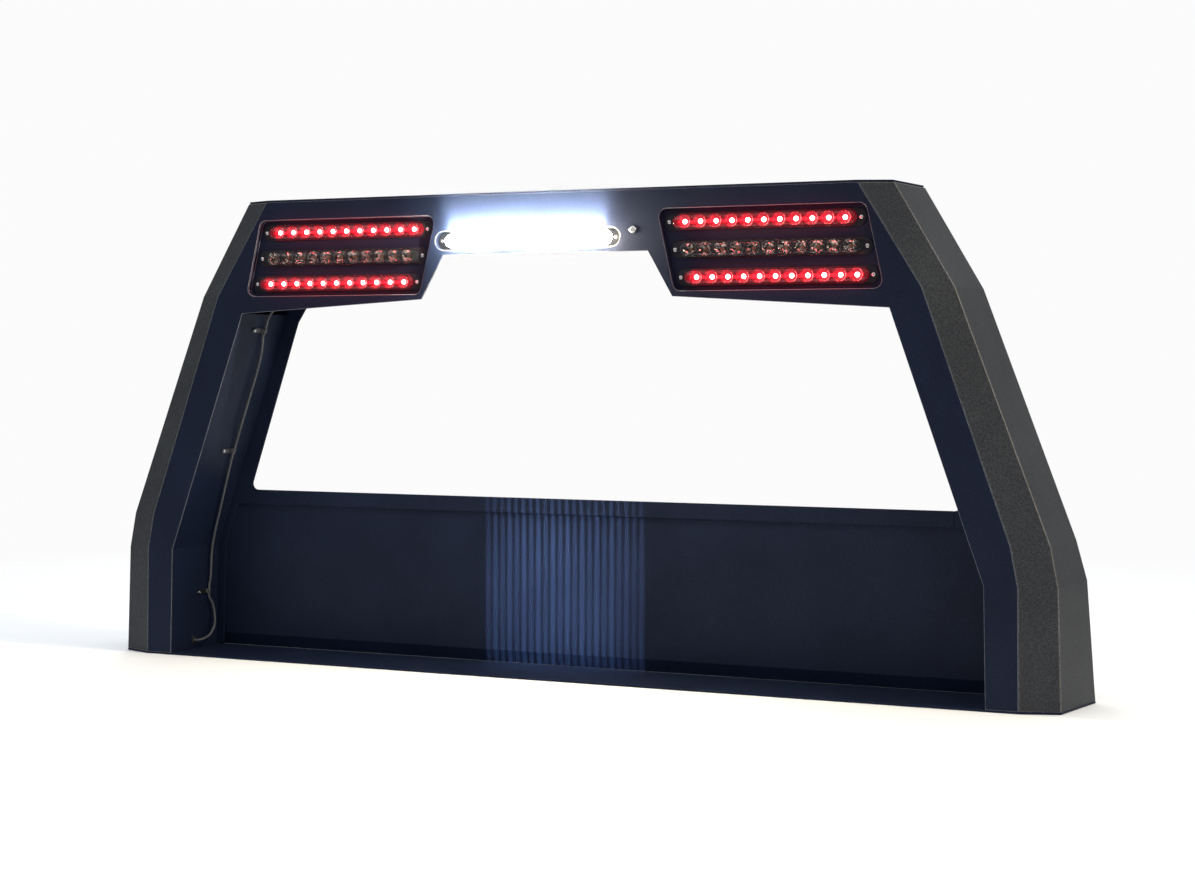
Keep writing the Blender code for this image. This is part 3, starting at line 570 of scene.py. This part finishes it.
# The reflector's bar is the lens less its lip. An end cell reaches further than
# the others, from the last chip to the end of the bar.
bar_half = lens_size[0] / 2 - LENS_LIP_END
bar_half_height = lens_size[2] / 2 - LENS_LIP_SIDE
end_reach = bar_half - MIDDLE_LED * LED_PITCH
face_y = body_centre[1] - body_size[1] / 2
back_y = body_centre[1] + body_size[1] / 2
floor_y = board_centre[1] + board_size[1] / 2 - BOWL_INSET
print("bar half length", round(bar_half, 4), "face", round(face_y, 4))


# %% Helper: one reflector cell as a polar grid
def reflector_cell(x, z, left, right, round_left, round_right):
    """Points of one cell, bowl and flat face round it, and their glow.

    With t from 0 at the hole to 1 at the rim, the bowl's radius is
    r0 + (r1 - r0) t and it has climbed 0.25 t + 0.75 t^2 of its height. The
    radius carries shallow facets, 1 + d cos(8 a + pi k) sin(pi t). Outward from
    the rim, each point moves in a straight line to where its ray leaves the
    cell's box. The first and last cell have their outer corners drawn in.
    """
    angle = np.linspace(0, 2 * np.pi, CELL_SIDES, endpoint=False) + np.pi / CELL_SIDES
    c, s = np.cos(angle), np.sin(angle)
    reach_x = np.where(c > 0, right, left) / np.maximum(np.abs(c), 1e-6)
    reach_z = bar_half_height / np.maximum(np.abs(s), 1e-6)
    reach = np.minimum(reach_x, reach_z)
    t = np.linspace(0, 1, BOWL_POINTS)[None, :]
    tier = np.arange(BOWL_POINTS)[None, :]
    wave = np.cos(FACETS * angle[:, None] + np.pi * tier)
    facets = 1 + FACET_DEPTH * wave * np.sin(np.pi * t)
    bowl_r = (HOLE_RADIUS + (RIM_RADIUS - HOLE_RADIUS) * t) * facets
    bowl_y = floor_y + (face_y - floor_y) * (0.25 * t + 0.75 * t * t)
    out = np.linspace(0.0, 1.0, 4)[None, 1:]
    flat_r = FLAT_RADIUS + (reach[:, None] - FLAT_RADIUS) * out
    flat_y = np.full_like(flat_r, face_y)
    r = np.concatenate([bowl_r, flat_r], axis=1)
    y = np.concatenate([np.broadcast_to(bowl_y, bowl_r.shape), flat_y], axis=1)
    glow = np.concatenate(
        [
            np.broadcast_to(0.22 + 0.78 * (1.0 - t) ** 2, bowl_r.shape),
            np.broadcast_to(np.array([[0.20, 0.17, 0.14]]), flat_r.shape),
        ],
        axis=1,
    )
    points = np.stack([x + r * c[:, None], y, z + r * s[:, None]], axis=-1)
    for wanted, side in ((round_left, -1), (round_right, 1)):
        if wanted:
            points = rounded_end(points, x, z, side)
    return points, glow


def rounded_end(points, x, z, side):
    """Draw the corners at a bar's end in by 0.38 u^2 v^2 of the end cell's reach.

    u and v run from 0 at the last chip to 1 at the bar's end and at its edge.
    """
    dz = np.abs(points[..., 2] - z) / bar_half_height
    dx = side * (points[..., 0] - x) / end_reach
    pull = np.clip(dx, 0, 1) ** 2 * np.clip(dz, 0, 1) ** 2 * END_DRAW
    moved = points.copy()
    moved[..., 0] -= side * pull * end_reach
    return moved


def lamp_reflector(x, z):
    """Grids and glow of a whole reflector, with its flange round it."""
    grids, glows = [], []
    for k in range(LED_COUNT):
        first, last = k == 0, k == LED_COUNT - 1
        points, glow = reflector_cell(
            x + LED_PITCH * (k - MIDDLE_LED),
            z,
            end_reach if first else LED_PITCH / 2,
            end_reach if last else LED_PITCH / 2,
            first,
            last,
        )
        grids.append((points, True, False))
        glows.append(glow)
    # Flange: a stadium swept through a short profile, from the bar out to the ears.
    # Each row of the profile is how far in from the outline it lies, and its depth.
    u = np.linspace(0, 2 * np.pi, 96, endpoint=False)
    half_l, half_h = body_size[0] / 2, body_size[2] / 2
    profile = np.array(
        [
            (0.0040, face_y + 0.0008),
            (0.0028, face_y + 0.0040),
            (0.0022, back_y - 0.0021),
            (0.0004, back_y - 0.0020),
            (0.0000, back_y - 0.0016),
            (0.0000, back_y),
            (0.0120, back_y),
        ]
    )
    side = np.where(np.cos(u) >= 0, 1.0, -1.0)[:, None]
    # In front of the ears the wall follows the bar, so its ends draw in.
    on_ears = profile[None, :, 1] > back_y - EAR_THICKNESS
    cx = side * (np.where(on_ears, half_l, bar_half) - half_h)
    r = half_h - profile[None, :, 0]
    px = x + cx + r * np.cos(u)[:, None]
    pz = z + r * np.sin(u)[:, None]
    py = np.broadcast_to(profile[None, :, 1], px.shape)
    grids.append((np.stack([px, py, pz], axis=-1), True, False))
    glows.append(np.zeros(px.shape))
    return grids, glows


# %% [markdown]
# The lens is a thin shell. For each place along the lamp, a closed loop runs over
# its front and back again along its inside. The loop shrinks to a point at both
# ends, because the outline is a stadium. Its front swells a little over each chip.


# %% Helper: lens and resin domes
def lens_grid(x, z):
    """Closed loops along the lamp, each over the lens's front and back inside it.

    The half height is sqrt(r^2 - p^2), where p is how far a place lies past the
    straight part. The front falls back by 0.7 mm (1 - exp(-(d / 10 mm)^2)) at a
    distance d from the nearest chip, and towards the rim with |v|^5.
    """
    half_l, r = lens_size[0] / 2, lens_size[2] / 2
    turn = np.linspace(0, np.pi, 161)
    along = -half_l * np.cos(turn)
    past = np.clip(np.abs(along) - (half_l - r), 0, r)
    half = np.sqrt(np.maximum(r * r - past * past, 0))
    v = np.linspace(-1, 1, 19)
    front = lens_centre[1] - lens_size[1] / 2
    back = lens_centre[1] + lens_size[1] / 2
    nearest = np.clip(np.round(along / LED_PITCH), -MIDDLE_LED, MIDDLE_LED) * LED_PITCH
    edge = np.abs(v) ** 5
    height = half[:, None] * v[None, :]
    gap = np.hypot((along - nearest)[:, None], height)
    swell = LENS_SWELL * (1 - np.exp(-((gap / SWELL_RADIUS) ** 2)))
    rise = np.clip(half / r, 0, 1)[:, None] ** 0.35
    depth = front + swell + (back - front - 0.0009) * (1 - (1 - edge[None, :]) * rise)
    depth = np.minimum(depth, back - 0.0002)
    across = np.broadcast_to(along[:, None], height.shape)
    outer = np.stack([across, depth, height], -1)
    inner = outer.copy()
    inner[..., 1] = np.minimum(depth + LENS_WALL, back)
    inner[..., 2] *= 0.955
    loop = np.concatenate([outer, inner[:, ::-1]], axis=1)
    loop[..., 0] += x
    loop[..., 2] += z
    return loop


def dome_grids(x, z):
    """One resin dome per chip, and the board behind them.

    A dome is a polar grid over a quarter ellipse, r = R cos(b) and h = H sin(b).
    """
    angle = np.linspace(0, 2 * np.pi, 20, endpoint=False)[:, None]
    rise = np.linspace(0, np.pi / 2, 7)[None, :]
    grids = []
    for k in range(LED_COUNT):
        chip_x = x + LED_PITCH * (k - MIDDLE_LED)
        px = chip_x + DOME_RADIUS * np.cos(rise) * np.cos(angle)
        pz = z + DOME_RADIUS * np.cos(rise) * np.sin(angle)
        py = floor_y - DOME_HEIGHT * np.sin(rise) + 0 * angle
        grids.append((np.stack([px, py, pz], -1), True, False))
    # Board behind the domes, as one flat closed slab.
    half_l, half_h = board_size[0] / 2, board_size[2] / 2
    u = np.linspace(0, 2 * np.pi, 64, endpoint=False)[:, None]
    scale = np.array([[0.0, 1.0, 1.0, 0.0]])
    deep = np.array([[0.0003, 0.0003, 0.0015, 0.0015]]) + floor_y
    squarish_x = np.sign(np.cos(u)) * np.abs(np.cos(u)) ** 0.35
    squarish_z = np.sign(np.sin(u)) * np.abs(np.sin(u)) ** 0.35
    px = x + half_l * squarish_x * scale
    pz = z + half_h * squarish_z * scale
    grids.append((np.stack([px, deep + 0 * u, pz], -1), True, False))
    return grids


# %% Build the seven lamps
for name in lamp_names:
    centre, _ = measured(f"{name}_lens")
    x, z = centre[0], centre[2]
    if name == "work_light":
        plate_finish, lens_finish, chip_finish = chrome_white, white_lens, white_chip
    elif name.startswith("middle"):
        plate_finish, lens_finish, chip_finish = chrome_unlit, clear_lens, dark_chip
    else:
        plate_finish, lens_finish, chip_finish = chrome_red, red_lens, red_chip
    grids, glows = lamp_reflector(x, z)
    second = [BOWL_POINTS] * LED_COUNT + [0]
    mesh = mesh_from_grids(f"{name}_reflector", grids, glow=glows, second_from=second)
    finishes = [plate_finish, housing]
    show(mesh.name, mesh, finishes, [f"{name}_body"], smooth=False)
    mesh = mesh_from_grids(f"{name}_cover", [(lens_grid(x, z), False, True)])
    show(mesh.name, mesh, lens_finish, [f"{name}_lens"])
    mesh = mesh_from_grids(f"{name}_domes", dome_grids(x, z))
    show(mesh.name, mesh, chip_finish, [f"{name}_led_board"])
print("lamps:", len(lamp_names))

# %% [markdown]
# ## Screws
# A pan head is a shallow dome with a cross-shaped socket. The head is a polar
# grid whose height is the dome minus the socket, and the socket is deep where a
# point is near either arm of the cross.

# %% Screw heads
HEAD_RADIUS = 0.0042
HEAD_HEIGHT = 0.0027
SHANK_RADIUS = 0.0021
SCREW_SIDES = 48
CLIP_SCREW_AXIS = (0.985, 0.0, -0.17)
LAMP_SCREW_AXIS = (0.0, -1.0, 0.0)
HEAD_R = np.array([[1.0, 1.0, 0.97, 0.86, 0.7, 0.56, 0.42, 0.3, 0.16, 0.0]])
HEAD_Z = np.array([[0.0, 0.45, 0.65, 0.84, 0.93, 0.97, 0.99, 1.0, 1.0, 1.0]])


def pan_head(radius, height):
    """Points of a head that stands along +Z, with a cross socket in its top.

    The socket lowers each point that has |x| or |y| under 0.13 of the radius and
    lies within 0.52 of it.
    """
    angle = np.linspace(0, 2 * np.pi, SCREW_SIDES, endpoint=False)[:, None]
    r = radius * HEAD_R
    z = height * HEAD_Z
    x, y = r * np.cos(angle), r * np.sin(angle)
    arm = np.minimum(np.abs(x), np.abs(y)) < 0.13 * radius
    inside = np.hypot(x, y) < 0.52 * radius
    z = z - np.where(arm & inside, 0.45 * height, 0.0)
    return np.stack([x, y, z + 0 * x], axis=-1)


def screw_piece(node, outward):
    """Head at the outer end of a frame screw, and a plain shank behind it."""
    work = cad_nodes[node].data
    co = np.empty(len(work.vertices) * 3, np.float32)
    work.vertices.foreach_get("co", co)
    co = co.reshape(-1, 3)
    axis = np.array(outward) / np.linalg.norm(outward)
    along = co @ axis
    top, end = along.max(), along.min()
    near_top = co[along > top - 0.0008]
    centre = near_top.mean(0)
    centre = centre - axis * (centre @ axis)
    side = np.cross(axis, (0.0, 0.0, 1.0))
    side /= np.linalg.norm(side)
    up = np.cross(side, axis)
    basis = np.stack([side, up, axis])
    head = pan_head(HEAD_RADIUS, HEAD_HEIGHT)
    head[..., 2] += top - HEAD_HEIGHT
    u = np.linspace(0, 2 * np.pi, SCREW_SIDES, endpoint=False)[:, None]
    r = np.array([[HEAD_RADIUS, SHANK_RADIUS, SHANK_RADIUS, 0.0]])
    h = np.array([[top - HEAD_HEIGHT, top - HEAD_HEIGHT, end, end]])
    shank = np.stack([r * np.cos(u), r * np.sin(u), h + 0 * u], axis=-1)
    grids = [(g @ basis + centre, True, False) for g in (head, shank)]
    mesh = mesh_from_grids(node + "_turned", grids)
    show(mesh.name, mesh, stainless, [node], False)


for node in cad_nodes:
    if node.startswith("cable_clip_screw_"):
        screw_piece(node, CLIP_SCREW_AXIS)
    elif "_screw_" in node:
        screw_piece(node, LAMP_SCREW_AXIS)
print("screws made")

# %% [markdown]
# ## Cable, clips, grommet and sensor
# The cable, its clips and its grommet keep the frame's shapes. One level of
# subdivision rounds the cable's sides, and a fine bevel takes the edge off the
# stamped clips.

# %% Small parts from the frame
cable = softened("post_cable", 0.0, smooth=True)
rounder = cable.modifiers.new("rounder", "SUBSURF")
rounder.levels = 1
rounder.render_levels = 1
for node in ("cable_clip_top", "cable_clip_middle", "cable_clip_low"):
    softened(node, 0.0003)
softened("cable_grommet", 0.0006)
softened("light_sensor", 0.0005)
print("small parts softened")

# %% [markdown]
# ## Floor and light
# The rack stands on a plain pale floor that fades into the backdrop. A big warm
# light on the right shows the posts' folds, a weak cool one fills from the left,
# and a third lights the cab side. The sky is bright overhead and dim at eye level.
# The lit lamps get small lights of their own just in front of them, because their
# glow has to fall on the metal round them.

# %% Floor and sky
FLOOR_REACH = 9.0
FLOOR_GAP = 0.0005
span = np.linspace(-FLOOR_REACH, FLOOR_REACH, 25)
gx, gy = np.meshgrid(span, span, indexing="ij")
floor_points = np.stack([gx, gy, np.full_like(gx, cad_low.z - FLOOR_GAP)], axis=-1)
floor_mesh = mesh_from_grids("floor", [(floor_points, False, False)])
floor_finish, floor_tree, floor_shader = new_material("pale floor", Roughness=0.65)
floor_noise = object_noise(floor_tree, 3.0, 2.0)
floor_tone = ramp(
    floor_tree,
    floor_noise.outputs["Fac"],
    [(0.3, (0.90, 0.90, 0.90)), (0.7, (0.93, 0.93, 0.93))],
)
floor_tree.links.new(floor_tone, floor_shader.inputs["Base Color"])
# The floor fades out with distance, so that it meets the backdrop with no line.
floor_place = floor_tree.nodes.new("ShaderNodeTexCoord")
distance = add_node(floor_tree, "ShaderNodeVectorMath", operation="LENGTH")
fade = add_node(floor_tree, "ShaderNodeMapRange", interpolation_type="SMOOTHSTEP")
fade.inputs["From Min"].default_value = 1.5
fade.inputs["From Max"].default_value = 3.6
fade.inputs["To Min"].default_value = 1.0
fade.inputs["To Max"].default_value = 0.0
floor_tree.links.new(floor_place.outputs["Object"], distance.inputs[0])
floor_tree.links.new(distance.outputs["Value"], fade.inputs["Value"])
floor_tree.links.new(fade.outputs["Result"], floor_shader.inputs["Alpha"])
floor_mesh.materials.append(floor_finish)
floor = bpy.data.objects.new("floor", floor_mesh)
bpy.context.scene.collection.objects.link(floor)
if floor_mesh.polygons[0].normal.z < 0:
    floor_mesh.flip_normals()

world = bpy.data.worlds.new("sky")
world.use_nodes = True
bpy.context.scene.world = world
sky = world.node_tree.nodes["Background"]
sky.inputs["Color"].default_value = (0.94, 0.97, 1.0, 1.0)
# The sky's strength climbs with the height of the direction.
direction = world.node_tree.nodes.new("ShaderNodeTexCoord")
split = world.node_tree.nodes.new("ShaderNodeSeparateXYZ")
climb = world.node_tree.nodes.new("ShaderNodeMapRange")
climb.inputs["From Min"].default_value = 0.0
climb.inputs["From Max"].default_value = 0.9
climb.inputs["To Min"].default_value = 0.25
climb.inputs["To Max"].default_value = 1.20
world.node_tree.links.new(direction.outputs["Generated"], split.inputs["Vector"])
world.node_tree.links.new(split.outputs["Z"], climb.inputs["Value"])
world.node_tree.links.new(climb.outputs["Result"], sky.inputs["Strength"])
# The camera sees one even backdrop in place of the sky.
backdrop = world.node_tree.nodes.new("ShaderNodeBackground")
backdrop.inputs["Color"].default_value = (1.0, 1.0, 1.0, 1.0)
backdrop.inputs["Strength"].default_value = 0.97
seen = world.node_tree.nodes.new("ShaderNodeLightPath")
pick = world.node_tree.nodes.new("ShaderNodeMixShader")
world_out = world.node_tree.nodes["World Output"]
world.node_tree.links.new(seen.outputs["Is Camera Ray"], pick.inputs["Fac"])
world.node_tree.links.new(sky.outputs["Background"], pick.inputs[1])
world.node_tree.links.new(backdrop.outputs["Background"], pick.inputs[2])
world.node_tree.links.new(pick.outputs["Shader"], world_out.inputs["Surface"])
bpy.context.scene.view_settings.view_transform = "Standard"


# %% Helpers: lights aimed at a point
def place_light(data, place, target=None, stretch=(1.0, 1.0, 1.0)):
    """Put a light in the scene, turned to its target and unseen by the camera."""
    lamp = bpy.data.objects.new(data.name, data)
    lamp.location = place
    if target:
        aim = Vector(target) - Vector(place)
        lamp.rotation_euler = aim.to_track_quat("-Z", "Y").to_euler()
    lamp.scale = stretch
    lamp.visible_camera = False
    bpy.context.scene.collection.objects.link(lamp)


def area_light(name, place, target, width, height, power, colour):
    """Rectangular light of a power in watts."""
    data = bpy.data.lights.new(name, "AREA")
    data.shape = "RECTANGLE"
    data.size = width
    data.size_y = height
    data.energy = power
    data.color = colour
    place_light(data, place, target)


def spot_light(name, place, target, power, colour, cone, stretch):
    """Small spot whose cone is an ellipse: stretch scales its width and height."""
    data = bpy.data.lights.new(name, "SPOT")
    data.energy = power
    data.color = colour
    data.spot_size = math.radians(cone)
    data.spot_blend = 1.0
    data.shadow_soft_size = 0.002
    place_light(data, place, target, stretch)


# %% Studio lights
KEY = (1.0, 0.87, 0.66)
FILL = (0.80, 0.88, 1.0)
BACK = (0.88, 0.93, 1.0)
area_light("key", (4.6, -0.6, 2.6), (0.8, 0.0, 0.5), 1.8, 1.8, 112.0, KEY)
area_light("fill", (-3.0, -4.4, 2.6), (-0.4, 0.0, 0.5), 2.5, 2.5, 25.0, FILL)
area_light("cab side", (-2.4, 4.4, 2.7), (0.0, 0.1, 0.5), 2.6, 2.6, 70.0, BACK)

# %% Lamp glow
work_centre, work_size = measured("work_light_lens")
RED = (1.0, 0.03, 0.05)
# The coat is nearly navy, so even a creamy light reads as pale blue on it.
SPILL = (1.0, 0.87, 0.64)
STREAK = (0.70, 0.86, 1.0)
rear_y = cad_low.y + 0.003
for name in lamp_names:
    if not name.startswith(("top", "low")):
        continue
    centre, size = measured(f"{name}_lens")
    place = (centre[0], rear_y - 0.030, centre[2])
    target = (centre[0], rear_y, centre[2])
    area_light(f"{name} glow", place, target, size[0] * 0.92, 0.010, 0.25, RED)
for k in range(LED_COUNT):
    x = work_centre[0] + LED_PITCH * (k - MIDDLE_LED)
    start = (x, rear_y - 0.014, work_centre[2] + 0.004)
    above = (x, rear_y, work_centre[2] + 0.055)
    spot_light(f"work beam {k}", start, above, 20.0, SPILL, 125.0, (0.42, 1.0, 1.0))
    data = bpy.data.lights.new(f"work halo {k}", "POINT")
    data.energy = 2.5
    data.color = SPILL
    data.shadow_soft_size = 0.004
    place_light(data, (x, rear_y - 0.024, work_centre[2]))

# %% [markdown]
# The work light also throws a cool stripe on the bulkhead, as wide as the lamp and
# full of fine upright streaks. A row of spots stands in for it, high up on the load
# side, and each draws one streak with a cone squeezed sideways. They stand about as
# far apart as a streak is wide, and every second one is weaker. The stripe is
# brightest in its middle and fades a little towards the right.

# %% Stripe on the bulkhead
STREAKS = 2 * LED_COUNT
STREAK_POWER = 950.0
bulkhead_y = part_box("bulkhead")[1].y
for k in range(STREAKS):
    place = (k + 0.5) / STREAKS - 0.5
    x = work_centre[0] + place * work_size[0]
    power = STREAK_POWER * (1.0 - 2.6 * place * place) * (1.0 - 0.35 * place)
    power *= 1.0 if k % 2 else 0.8
    start = (x, -1.45, 1.30)
    middle = (x, bulkhead_y, 0.15)
    spot_light(f"streak {k}", start, middle, power, STREAK, 14.5, (0.040, 1.0, 1.0))
